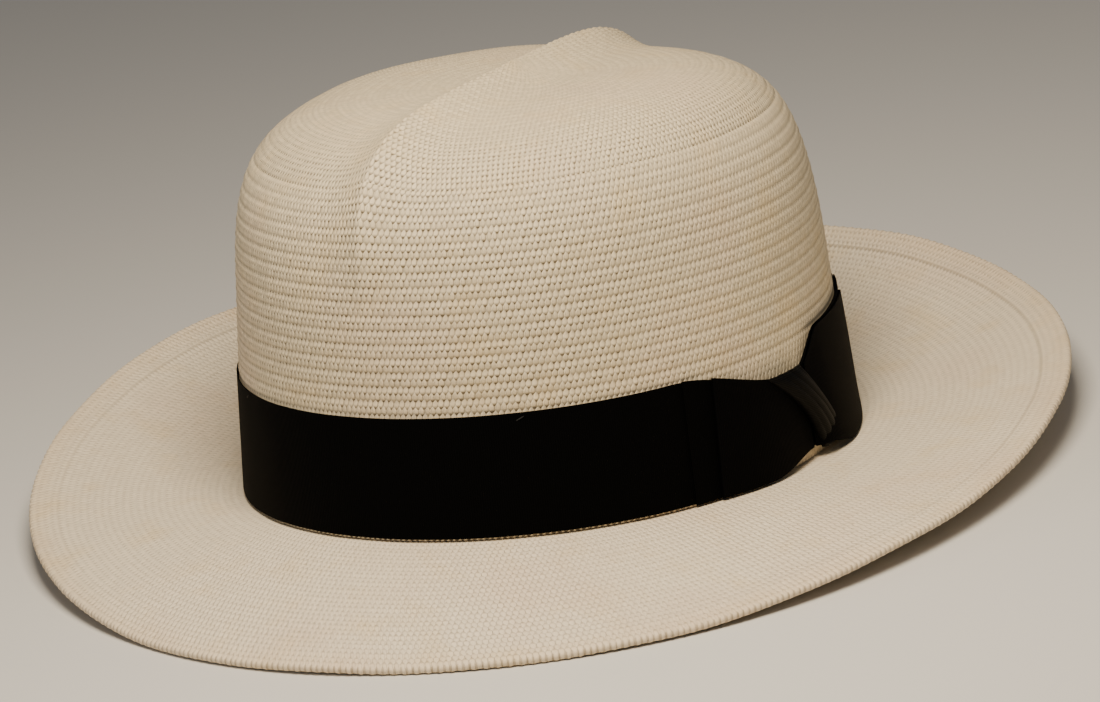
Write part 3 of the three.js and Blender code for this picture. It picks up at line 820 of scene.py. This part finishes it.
# A strip is given by angles, distance off the wall, heights of foot and top, and kind.
strip = (band_degrees, band_off, *band_edges, "ring")
ribbon_piece("ribbon_band", "hat_band", RIBBON, "crown_side", "stretched", *strip, thick=0.4)

# %% [markdown]
# ## The bow
#
# The bow is built on a second short layer of ribbon. Its front end shows as a clean step.
# On it lie two loops: each is a ribbon that runs out from the knot, turns over in a round
# fold and comes back on top. The front loop is nearly flat. The rear loop stands off the
# crown, most at its foot, because the ribbon is bent there and not pressed.

# %% Underlay
under_degrees = np.linspace(58.0, 126, 90)
under_off = 0.98
under_edges = band_foot(under_degrees) - 0.2, band_top(under_degrees) + 0.4
strip = (under_degrees, under_off, *under_edges, "bar")
laid_on = (RIBBON, "ribbon_band", "laid")
ribbon_piece("ribbon_underlay", "bow_underlay", *laid_on, *strip, thick=0.4)

# %% Loops
def loop_path(end, knot, near, bulge_low, bulge_high, peak):
    """Out along the wall, round the fold and back: angles and offsets, [step, across].

    end is the fold's angle at the foot and at the top. The return stands off by
    bulge sin(pi s^peak)^1.4, blended from foot to top.
    """
    s = np.linspace(0, 1, 44)[:, None]
    fold = np.linspace(-np.pi / 2, np.pi / 2, 14)[1:-1][:, None]
    radius = 0.34
    degrees_for_mm = 0.62
    way = 1 if end[0] > knot else -1
    end = end[0] + (end[1] - end[0]) * V_LINE
    out_degrees = knot + (end - knot) * s
    bulge = bulge_high + (bulge_low - bulge_high) * (1 - V_LINE) ** 1.3
    back_off = near + 2 * radius + bulge * np.sin(np.pi * s**peak) ** 1.4
    out_off = near + 0 * s * V_LINE
    turn_degrees = end + way * radius * degrees_for_mm * np.cos(fold)
    turn_off = near + radius + radius * np.sin(fold) + 0 * V_LINE
    degrees = np.concatenate([out_degrees, turn_degrees, out_degrees[::-1]]) + 0 * V_LINE
    off = np.concatenate([out_off, turn_off, back_off[::-1]])
    return degrees, off


front_loop = loop_path((63.4, 64.2), 87.0, 1.4, bulge_low=1.3, bulge_high=0.9, peak=0.9)
rear_loop = loop_path((120.5, 115.0), 87.8, 1.4, bulge_low=4.0, bulge_high=0.3, peak=0.5)
for name, (degrees, off) in (("bow_front", front_loop), ("bow_rear", rear_loop)):
    line = degrees[:, 0]
    strip = (degrees, off, band_foot(line) - 0.1, band_top(line) + 0.6, "bar")
    folded_on = (BOW_RIBBON, "ribbon_underlay", "folded")
    ribbon_piece(name, name + "_loop", *folded_on, *strip, thick=0.34, sharp=60)


# %% [markdown]
# ## The knot
#
# A short strap of the same ribbon is drawn over the middle of the bow and tucked away at
# both ends. It slants back towards its foot and is gathered into three or four pleats. It
# is a bar whose width runs along the crown, with pleats as waves across it.

# %% Knot
KNOT_HALF = 4.3
KNOT_LONG = 30.0
KNOT_THICK = 0.5
KNOT_ROWS, KNOT_COLUMNS = 40, 41
rows = np.linspace(0, 1, KNOT_ROWS)[:, None]
cross = np.linspace(-1, 1, KNOT_COLUMNS)[None, :]
knot_middle = 87 + 6.5 * (1 - 2 * rows) + 1.2 * np.sin(np.pi * rows)
waist = 1 - 0.22 * np.sin(np.pi * rows) + 0.1 * rows
knot_degrees = knot_middle + cross * KNOT_HALF * waist
knot_low, knot_high = band_foot(87) - 1.2, band_top(84) + 2.4
knot_up = knot_low + (knot_high - knot_low) * rows
body = 2.16 * np.sin(np.pi * np.clip(rows, 0.02, 0.98)) ** 0.5
pleats = 0.38 * np.abs(np.sin(np.pi * (1.9 * cross + 0.35 * rows + 0.2))) ** 0.7
round_off = np.sqrt(np.clip(1 - cross**2, 0, 1)) ** 0.7
knot_off = 2.6 + (body + pleats) * round_off
knot_front = wall(np.radians(knot_degrees), knot_up, knot_off + KNOT_THICK)
knot_back = wall(np.radians(knot_degrees), knot_up, knot_off)
knot_sections = np.concatenate([knot_front, knot_back[:, ::-1]], axis=1)
knot_run = np.arange(KNOT_COLUMNS) * 0.35
knot_run = np.concatenate([knot_run, knot_run[::-1]])
knot_uv = grid_map(rows[:, 0] * KNOT_LONG, knot_run)
knot = make_piece("bow_strap", knot_sections, "bar", knot_uv)
knot_satin = ribbon_material("black_ribbon_strap", "#040507", 0.06, 0.5, 0.05)
place(knot, ["bow_knot"], "ribbon", knot_satin)

# %% [markdown]
# ## Thread
#
# Three lines of thread hold the hat together: one along the folded edge under the brim,
# one through the leather a little above the reed, and a few tacks that hold the ribbon.
# Each stitch is a short bar with rounded ends that dips at both ends. All the stitches of a
# line are one mesh, made from one small shape copied along the line by array arithmetic.

# %% Thread
def thread_material(name, base, shadow):
    """Matt cotton thread, its colour wandering between two tones along the twist."""
    material, tree = new_material(name)
    where = add(tree, "TexCoord").node.outputs["Object"]
    twist = add(tree, "TexNoise", where, Scale=2500.0)
    tone = add(tree, "Mix", twist, colour(base), colour(shadow), data_type="RGBA")
    add(tree, "OutputMaterial", add(tree, "BsdfPrincipled", Base_Color=tone, Roughness=0.8))
    return material


# %% Stitch lines
def stitch_line(name, centres, along, out, length, radius):
    """Bars with six sides and five rings at `centres`, in directions along and out."""
    ring = np.array([-1.0, -0.7, 0.0, 0.7, 1.0])
    thick = np.array([0.25, 0.85, 1.0, 0.85, 0.25])
    sink = -0.5 * radius * ring**2
    a = np.arange(6) * np.pi / 3
    width = radius * thick[:, None]
    centres, x, y, z = (v[:, None, None, :] for v in (centres, along, np.cross(along, out), out))
    p = (
        centres
        + x * (ring * length / 2)[:, None, None]
        + y * (width * np.cos(a))[..., None]
        + z * (sink[:, None] + width * np.sin(a))[..., None]
    )
    quads, _ = grid_quads(5, 6, False, True)
    start = (np.arange(len(centres)) * 30)[:, None, None]
    faces = (quads[None] + start).reshape(-1, 4)
    points = to_row(p.reshape(-1, 3))
    flipped = signed_volume(points, faces) < 0
    if flipped:
        faces = faces[:, ::-1]
    ends = bar_ends(5, 6, flipped)
    caps = [[e + 30 * k for e in end] for k in range(len(centres)) for end in ends]
    mesh = bpy.data.meshes.new(name)
    mesh.from_pydata(points.tolist(), [], faces.tolist() + caps)
    mesh.polygons.foreach_set("use_smooth", np.ones(len(mesh.polygons), bool))
    print(f"{name}: {len(centres)} stitches")
    return new_object(name, mesh)


def unit(v):
    """Vectors at length one."""
    return v / np.linalg.norm(v, axis=-1, keepdims=True)


def stitches_round(name, surface, count, out_sign, length, radius):
    """Stitches along a closed line given as a function of the angle."""
    phi = 2 * np.pi * np.arange(count) / count
    here, ahead = surface(phi), surface(phi + 1e-3)
    along = unit(ahead - here)
    out = unit(np.cross(along, np.cross(out_sign(phi), along)))
    return stitch_line(name, here, along, out, length, radius)


# %% Stitches of the folded edge, and tacks
pale_cotton = thread_material("cotton_thread_natural", "#ddd0b3", "#a59678")
dark_cotton = thread_material("cotton_thread_black", "#030303", "#010101")
edge_stitches = stitches_round(
    "brim_edge_stitches",
    lambda phi: brim_surface(phi, brim_reach(phi) - HEM_WIDE + 2, -HEM_THICK - 0.2),
    count=300,
    out_sign=lambda phi: np.stack([0 * phi, 0 * phi, -1 + 0 * phi], axis=-1),
    length=2.2,
    radius=0.22,
)
place(edge_stitches, ["brim_edge_thread"], "pale_thread", pale_cotton)

for k, degrees in enumerate([28.0, 152.0, 214.0, 322.0], 1):
    phi = np.radians([degrees])
    centre = wall(phi, band_top(degrees) - 1.6, 0.8)
    tangent = unit(wall(phi + 0.01, 20, 0) - wall(phi, 20, 0))
    slanted = unit(tangent + np.array([[0, 0, 0.5]]))
    tack = stitch_line(f"tack_{k}", centre, slanted, outward(phi), 2.6, 0.16)
    place(tack, [f"band_tack_{k}"], "dark_thread", dark_cotton)


# %% [markdown]
# ## The sweatband
#
# A strip of thin sheepskin runs round inside the crown. Its lower edge is folded round a
# thin reed and sewn, which keeps the opening firm, and its upper edge is free. The section
# is an outline in two numbers, inward from the straw and up from the foot, carried round
# the oval.

# %% Shape of the leather
REED_IN, REED_UP, LEATHER = 4.0, 1.9, 0.8


def sweat_outline():
    """Outline of the leather: a hook round the reed and a leaf standing above it."""
    hollow, shell = 1.25, 1.25 + LEATHER
    a = np.linspace(np.pi, 0, 9)
    inner_arc = np.stack([REED_IN - hollow * np.cos(a), REED_UP - hollow * np.sin(a)], axis=1)
    b = np.linspace(0, np.pi, 11)
    outer_arc = np.stack([REED_IN - shell * np.cos(b), REED_UP - shell * np.sin(b)], axis=1)
    steps = np.linspace(REED_UP + 7, 38.2, 12)
    face = REED_IN + shell - 0.85
    bow = 0.25 * np.sin(np.pi * (steps - REED_UP - 7) / 30)
    outer_side = np.stack([face - LEATHER + 0.15 + bow, steps], axis=1)
    inner_side = np.stack([face + 0.15 + bow, steps], axis=1)
    top = np.array([[face - LEATHER + 0.3, 38.8], [face, 38.8]])
    ear = np.array([[2.75, REED_UP + 3.6], [2.3, REED_UP + 4.1], [1.95, REED_UP + 3.6]])
    hook = np.concatenate([inner_arc, ear, outer_arc])
    return np.concatenate([top[:1], outer_side[::-1], hook, inner_side, top[1:]])


outline = sweat_outline()
leather_phi = np.linspace(0, 2 * np.pi, 361)[:-1]
wave = 0.15 * np.sin(5 * leather_phi + 1) + 0.1 * np.sin(13 * leather_phi)
inward = outline[None, :, 0] + wave[:, None] * smooth(outline[None, :, 1], 8, 38)
leather_sections = wall(leather_phi[:, None], outline[None, :, 1], -inward)
leather_u = np.linspace(0, 560, 361)
leather_v = np.cumsum(np.concatenate([[0], np.linalg.norm(np.diff(outline, axis=0), axis=1)]))
leather_uv = grid_map(leather_u, leather_v)
sweatband = make_piece("leather_sweatband", leather_sections, "ring", leather_uv)

# %% Leather
def leather_material():
    """Tan sheepskin: fine pebbled grain, satin, a little darker in slow patches."""
    material, tree = new_material("sheepskin_tan")
    where = add(tree, "TexCoord").node.outputs["Object"]
    grain = add(tree, "TexVoronoi", where, Scale=1400.0)
    patch = add(tree, "TexNoise", where, Scale=45.0, Detail=4.0)
    tone = add(tree, "Mix", patch, colour("#a9814f"), colour("#c39c6b"), data_type="RGBA")
    bump = add(tree, "Bump", Height=grain, Distance=0.00012, Strength=0.6)
    hide = add(tree, "BsdfPrincipled", Base_Color=tone, Normal=bump, Roughness=0.48)
    add(tree, "OutputMaterial", hide)
    return material


place(sweatband, ["sweatband"], "leather", leather_material())

# %% Reed and stitches
REED_RADIUS = 0.95
reed_angle = np.arange(12)[None, :] * np.pi / 6
reed_up = REED_UP + REED_RADIUS * np.sin(reed_angle)
reed_sections = wall(leather_phi[:, None], reed_up, -REED_IN - REED_RADIUS * np.cos(reed_angle))
reed = make_piece("reed", reed_sections, "ring", sharp=80)
place(reed, ["sweatband_reed"], "reed", thread_material("reed_cord", "#b9a884", "#8d7f66"))

sweat_stitches = stitches_round(
    "sweatband_stitches",
    lambda phi: wall(phi, REED_UP + 8, -5.6),
    count=230,
    out_sign=lambda phi: -outward(phi),
    length=1.9,
    radius=0.2,
)
place(sweat_stitches, ["sweatband_thread"], "pale_thread", pale_cotton)

# %% [markdown]
# ## Small inside pieces
#
# Where the leather's ends meet at the back they are backed by a strip of tape, and a tiny
# ribbon bow covers the join. A blank cloth tab, where a maker would print the size, is
# tucked behind the leather.

# %% Tape and tab
def cloth_material():
    """Plain off-white tape, with fine noise for its threads."""
    material, tree = new_material("cotton_tape")
    where = add(tree, "TexCoord").node.outputs["Object"]
    threads = add(tree, "TexNoise", where, Scale=1800.0)
    bump = add(tree, "Bump", Height=threads, Distance=0.0001)
    tone = colour("#ded6c2")
    cotton = add(tree, "BsdfPrincipled", Base_Color=tone, Normal=bump, Roughness=0.85)
    add(tree, "OutputMaterial", cotton)
    return material


laid_inside = (("cloth", cloth_material()), "leather_sweatband", "laid")
strip = (np.linspace(176.1, 183.9, 12), -5.75, 10.9, 37.3, "bar")
ribbon_piece("seam_tape", "sweatband_seam_tape", *laid_inside, *strip, thick=0.35)
strip = (np.linspace(213.4, 221.4, 14), -2.0, 8.2, 46.0, "bar")
ribbon_piece("blank_tab", "size_tab", *laid_inside, *strip, thick=0.3)

# %% Inside bow
small_degrees = np.linspace(173, 187, 57)
off_middle = np.clip(np.abs(small_degrees - 180) / 7, 0, 1)
half_high = 1.5 + 2.3 * smooth(off_middle, 0, 0.6)
small_knot = 1 - smooth(off_middle, 0.08, 0.2)
small_off = -6.7 - 1.2 * np.sin(np.pi * off_middle) - 0.5 * small_knot
small_edges = 16.9 - half_high, 16.9 + half_high
strip = (small_degrees, small_off, *small_edges, "bar")
small_bow, _ = ribbon_strip("inside_bow", *strip, thick=0.7)
place(small_bow, ["sweatband_bow"], *BOW_RIBBON)

# %% [markdown]
# ## Floor, light and camera
#
# A plain pale floor and sky show the hat's outline. A small lamp high over the front
# models the crown and the ridge, a wide and weaker one fills in from the camera's left, and
# a dim sky softens the shadows. The camera has a long lens and stands 1.4 m away, 15
# degrees above the brim's level.

# %% Floor
FLOOR_RADIUS = 4.0
FLOOR_SIDES = 96
floor_angle = 2 * np.pi * np.arange(FLOOR_SIDES) / FLOOR_SIDES
floor_points = np.stack([np.cos(floor_angle), np.sin(floor_angle), 0 * floor_angle], axis=1)
floor_mesh = bpy.data.meshes.new("floor")
floor_mesh.from_pydata((FLOOR_RADIUS * floor_points).tolist(), [], [list(range(FLOOR_SIDES))])
floor = new_object("floor", floor_mesh)
paint, paint_tree = new_material("pale_matt_floor")
paint_tone = colour("#cfcdc9")
matt = add(paint_tree, "BsdfPrincipled", Base_Color=paint_tone, Roughness=0.9)
add(paint_tree, "OutputMaterial", matt)
floor_mesh.materials.append(paint)
print("floor radius", FLOOR_RADIUS, "m")

# %% Light
world = bpy.data.worlds.new("sky")
world.use_nodes = True
sky = world.node_tree.nodes["Background"]
sky.inputs["Color"].default_value = colour("#eef0f4")
sky.inputs["Strength"].default_value = 0.17
bpy.context.scene.world = world


def area_light(name, place_at, aim, size, watts, tint):
    """A square lamp at a point, turned to face another."""
    data = bpy.data.lights.new(name, "AREA")
    data.size = size
    data.energy = watts
    data.color = colour(tint)[:3]
    lamp = new_object(name, data)
    lamp.location = place_at
    direction = Vector(aim) - Vector(place_at)
    lamp.rotation_euler = direction.to_track_quat("-Z", "Y").to_euler()
    print(f"{name}: {watts} W, {size} m wide, {direction.length:.2f} m from its aim")


area_light("key", (0.15, -0.25, 0.5), (0, -0.02, 0.05), size=0.26, watts=5.2, tint="#ffefd6")
area_light("fill", (-0.95, -1.0, 0.32), (0, 0, 0.06), size=0.8, watts=3.3, tint="#faf4ec")

# %% Camera
AZIMUTH, ELEVATION, ROLL = np.radians([28.476, 14.959, -5.802])
DISTANCE = 1398.9
ASIDE, ABOVE = 2.21, 24.72
LENS_IN_WIDTHS = 4.334

level = np.array([np.sin(AZIMUTH), -np.cos(AZIMUTH), 0])
back = level * np.cos(ELEVATION) + np.array([0, 0, np.sin(ELEVATION)])
right = np.array([np.cos(AZIMUTH), np.sin(AZIMUTH), 0])
upright = np.cross(back, right)
eye = right * ASIDE + np.array([0, 0, ABOVE]) + back * DISTANCE
rolled_right = right * np.cos(ROLL) + upright * np.sin(ROLL)
rolled_up = -right * np.sin(ROLL) + upright * np.cos(ROLL)
axes = TURN @ np.stack([rolled_right, rolled_up, back], axis=1)
camera_data = bpy.data.cameras.new("camera")
camera_data.sensor_width = 36.0
camera_data.lens = 36.0 * LENS_IN_WIDTHS
camera_data.clip_start, camera_data.clip_end = 0.05, 20
camera = new_object("camera", camera_data)
pose = np.vstack([np.column_stack([axes, to_row(eye)]), [0, 0, 0, 1]])
camera.matrix_world = Matrix(pose.tolist())
bpy.context.scene.camera = camera
print("camera at", [round(v, 3) for v in to_row(eye)])
